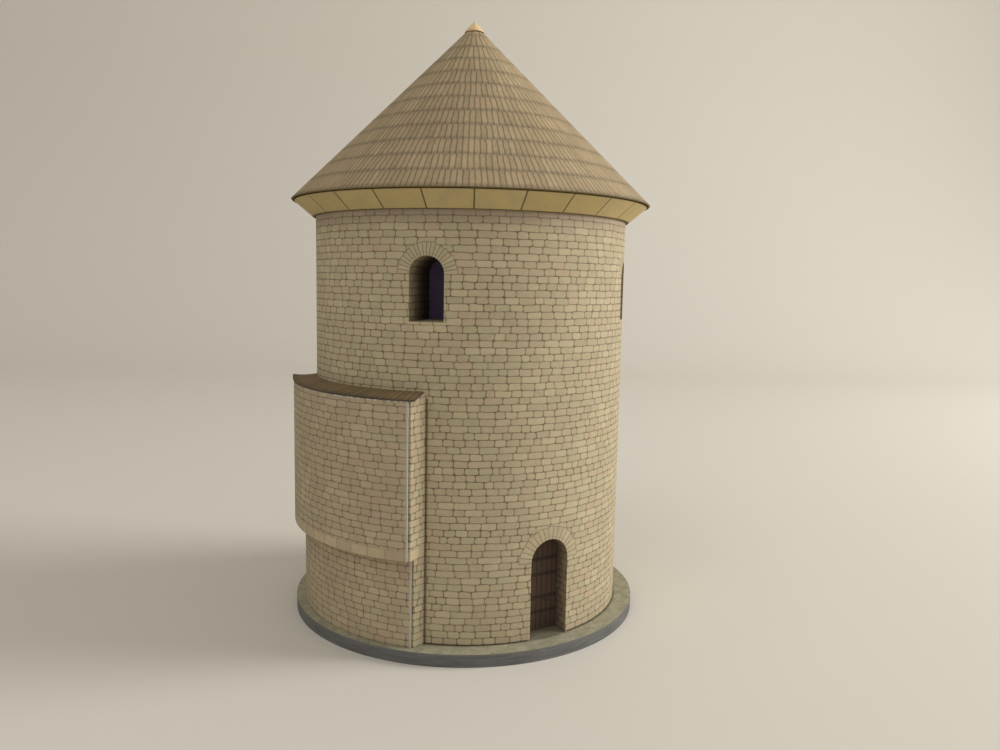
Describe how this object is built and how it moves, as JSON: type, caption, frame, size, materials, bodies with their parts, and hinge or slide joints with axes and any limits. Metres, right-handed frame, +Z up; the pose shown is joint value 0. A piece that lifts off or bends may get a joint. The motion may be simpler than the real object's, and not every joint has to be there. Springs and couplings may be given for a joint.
{
  "type": "printed card scale model of a rotunda",
  "caption": "Card model of a round stone tower with a shingled cone roof, arched window and door recesses and a curved two-tier annex.",
  "frame": {"origin": "centre of the tower's axis on the underside of the base board", "axes": "+Z up along the tower's axis, -Y towards the front, with the door turned towards +X"},
  "size_m": [0.061, 0.061, 0.1005],
  "materials": {
    "board_edge": "matt paint on board",
    "ground_print": "matt print",
    "masonry_print": "matt print of squared stones",
    "pane_print": "dark print",
    "door_print": "matt print of boards and straps",
    "reveal_print": "matt print of squared stones",
    "annex_shingle_print": "matt print of shingles",
    "annex_masonry_print": "matt print of squared stones",
    "cornice_print": "matt print of large blocks",
    "shingle_print": "matt print of narrow shingles",
    "tip_card": "plain card"
  },
  "bodies": {
    "root": {"base_board": "board_edge", "ground_sheet": "ground_print", "wall_door_bay": "masonry_print", "wall_right_window_bay": "masonry_print", "wall_back_right_bay": "masonry_print", "wall_back_window_bay": "masonry_print", "wall_back_left_bay": "masonry_print", "wall_left_window_bay": "masonry_print", "wall_annex_bay": "masonry_print", "wall_front_window_bay": "masonry_print", "front_window_reveal": "reveal_print", "front_window_sill": "reveal_print", "front_window_pane": "pane_print", "right_window_reveal": "reveal_print", "right_window_sill": "reveal_print", "right_window_pane": "pane_print", "back_window_reveal": "reveal_print", "back_window_sill": "reveal_print", "back_window_pane": "pane_print", "left_window_reveal": "reveal_print", "left_window_sill": "reveal_print", "left_window_pane": "pane_print", "door_reveal": "reveal_print", "door_leaf": "door_print", "annex_lower_front": "annex_masonry_print", "annex_lower_right_return": "annex_masonry_print", "annex_lower_left_return": "annex_masonry_print", "annex_soffit": "annex_masonry_print", "annex_upper_front": "annex_masonry_print", "annex_upper_right_return": "annex_masonry_print", "annex_upper_left_return": "annex_masonry_print", "annex_roof": "annex_shingle_print", "cornice": "cornice_print", "roof_cone": "shingle_print", "roof_tip": "tip_card"}
  },
  "joints": []
}
